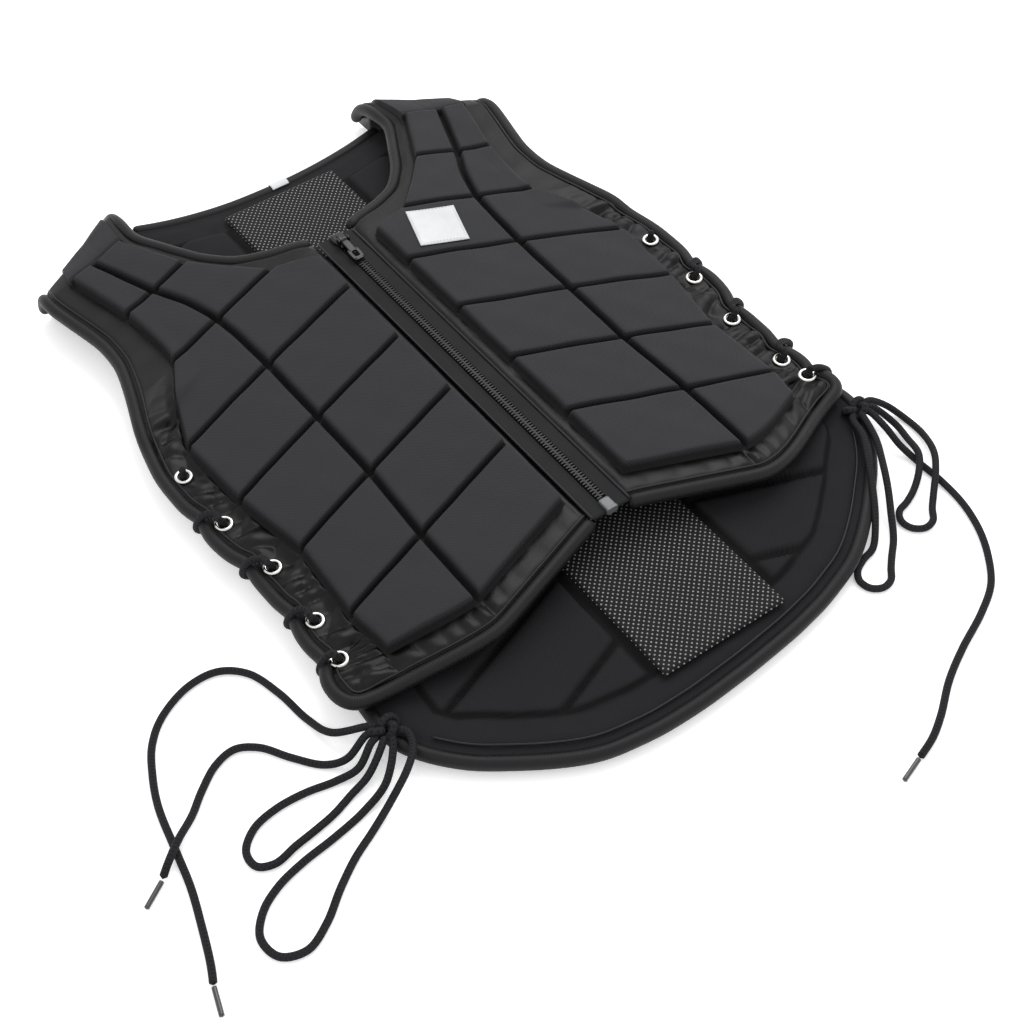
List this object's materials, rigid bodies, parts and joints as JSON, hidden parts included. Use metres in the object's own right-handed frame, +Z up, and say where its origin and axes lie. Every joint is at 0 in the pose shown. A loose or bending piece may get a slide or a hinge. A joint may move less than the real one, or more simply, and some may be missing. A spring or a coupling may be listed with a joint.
{
  "type": "equestrian body protector",
  "caption": "Padded riding vest of foam blocks with a front zip, corded side lacing and a long rounded tail, lying on its back",
  "frame": {"origin": "middle of the underside, at the level of the surface that the vest rests on, loose laces left out", "axes": "+Z up from the rest surface through the front, +Y toward the neck, +X toward the wearer's left"},
  "size_m": [0.6304, 0.7499, 0.0573],
  "materials": {
    "shell_fabric": "matte ribbed nylon over foam blocks",
    "binding_fabric": "ribbed woven tape",
    "mesh_lining": "open knitted mesh",
    "zip_plastic": "moulded teeth",
    "zip_metal": "black enamel",
    "zip_stop": "grey moulded box",
    "eyelet_metal": "bright plated",
    "lace_cord": "braided cord",
    "aglet": "smooth sleeve",
    "label_white": "woven satin"
  },
  "bodies": {
    "vest": {"aglet_left": "aglet", "aglet_right_1": "aglet", "aglet_right_2": "aglet", "back_binding": "binding_fabric", "back_panel": "shell_fabric", "chest_label": "label_white", "eyelet_back_left_1": "eyelet_metal", "eyelet_back_left_2": "eyelet_metal", "eyelet_back_left_3": "eyelet_metal", "eyelet_back_left_4": "eyelet_metal", "eyelet_back_left_5": "eyelet_metal", "eyelet_back_right_1": "eyelet_metal", "eyelet_back_right_2": "eyelet_metal", "eyelet_back_right_3": "eyelet_metal", "eyelet_back_right_4": "eyelet_metal", "eyelet_back_right_5": "eyelet_metal", "eyelet_front_left_1": "eyelet_metal", "eyelet_front_left_2": "eyelet_metal", "eyelet_front_left_3": "eyelet_metal", "eyelet_front_left_4": "eyelet_metal", "eyelet_front_left_5": "eyelet_metal", "eyelet_front_right_1": "eyelet_metal", "eyelet_front_right_2": "eyelet_metal", "eyelet_front_right_3": "eyelet_metal", "eyelet_front_right_4": "eyelet_metal", "eyelet_front_right_5": "eyelet_metal", "front_binding_left": "binding_fabric", "front_binding_right": "binding_fabric", "front_panel_left": "shell_fabric", "front_panel_right": "shell_fabric", "lace_end_left": "lace_cord", "lace_end_right_1": "lace_cord", "lace_end_right_2": "lace_cord", "lace_knot_left": "lace_cord", "lace_knot_right": "lace_cord", "lace_loop_left_1": "lace_cord", "lace_loop_left_2": "lace_cord", "lace_loop_right_1": "lace_cord", "lace_loop_right_2": "lace_cord", "neck_binding_back": "binding_fabric", "neck_binding_left": "binding_fabric", "neck_binding_right": "binding_fabric", "neck_label": "label_white", "side_lace_left": "lace_cord", "side_lace_right": "lace_cord", "spine_mesh": "mesh_lining", "zip_bottom_stop": "zip_stop", "zip_slider": "zip_metal", "zip_tape_left": "binding_fabric", "zip_tape_right": "binding_fabric", "zip_teeth": "zip_plastic"},
    "zip_pull": {"zip_pull": "zip_metal"}
  },
  "joints": [
    {"name": "zip_pull_turn", "type": "hinge", "parent": "vest", "child": "zip_pull", "pos_m": [-0.00079, 0.1469, 0.054], "axis": [-1, 0, 0], "range_deg": [0, 150]}
  ]
}
